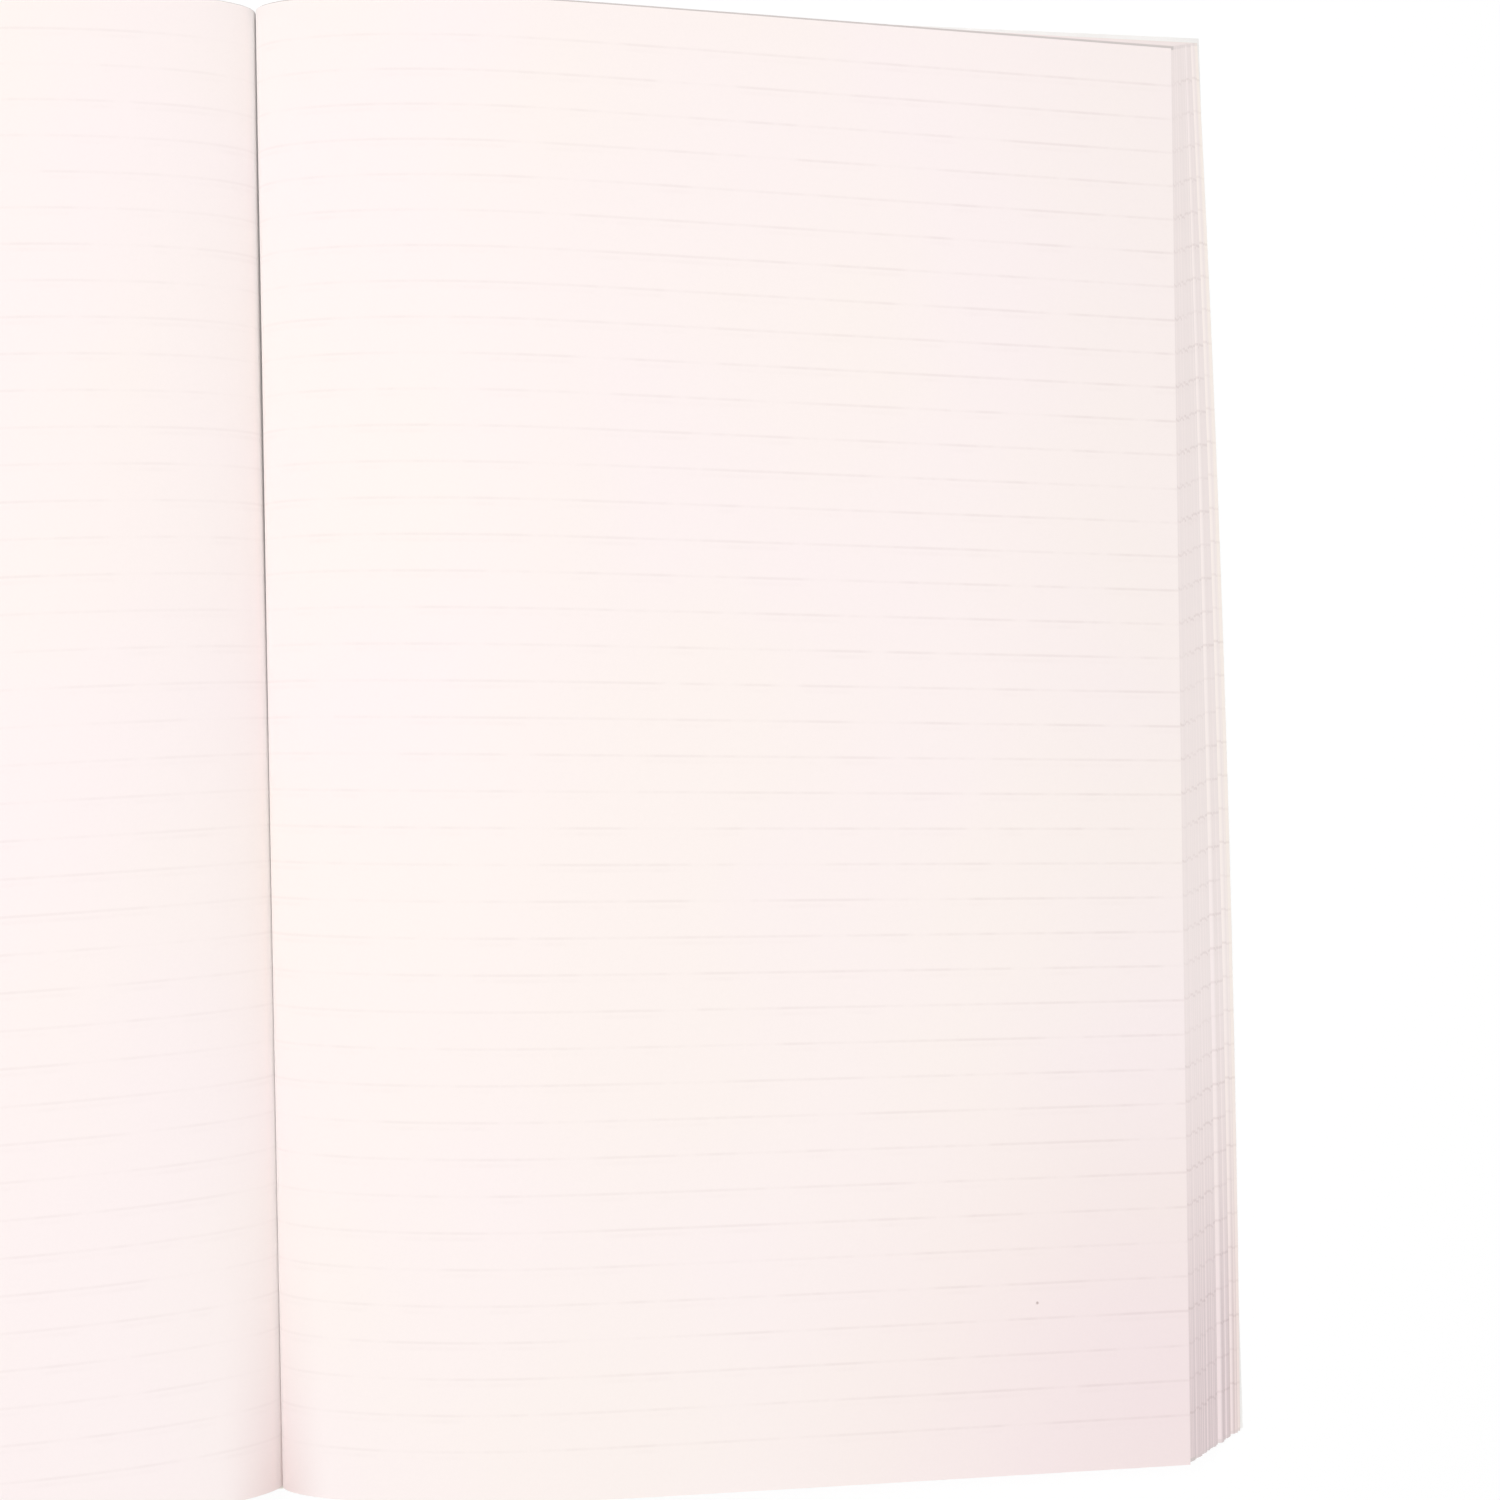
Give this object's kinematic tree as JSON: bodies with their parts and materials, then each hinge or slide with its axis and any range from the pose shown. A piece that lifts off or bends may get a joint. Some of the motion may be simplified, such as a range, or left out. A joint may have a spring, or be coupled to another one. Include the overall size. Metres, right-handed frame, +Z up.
{
  "type": "notebook",
  "caption": "Soft-cover ruled folio notebook lying open near its middle, with arched page halves, a fanned fore-edge and hinged card covers.",
  "frame": {"origin": "middle of the spine's outer face, where the open notebook rests on the table", "axes": "+X across the spread towards the right-hand fore-edge, +Y along the spine towards the head, +Z up from the table"},
  "size_m": [0.4432, 0.3367, 0.0177],
  "materials": {
    "leaf_paper": "smooth uncoated writing paper, faintly ruled",
    "cover_card": "uncoated pale card",
    "binding_glue": "dried hot-melt adhesive"
  },
  "bodies": {
    "book": {"page_block": "leaf_paper", "spine_glue": "binding_glue", "cover_spine": "cover_card"},
    "front_cover": {"front_cover": "cover_card"},
    "back_cover": {"back_cover": "cover_card"}
  },
  "joints": [
    {"name": "front_cover_hinge", "type": "hinge", "parent": "book", "child": "front_cover", "pos_m": [-0.0049, 0, 0.0002], "axis": [0, -1, 0], "range_deg": [0, 90]},
    {"name": "back_cover_hinge", "type": "hinge", "parent": "book", "child": "back_cover", "pos_m": [0.0049, 0, 0.0002], "axis": [0, 1, 0], "range_deg": [0, 90]}
  ]
}
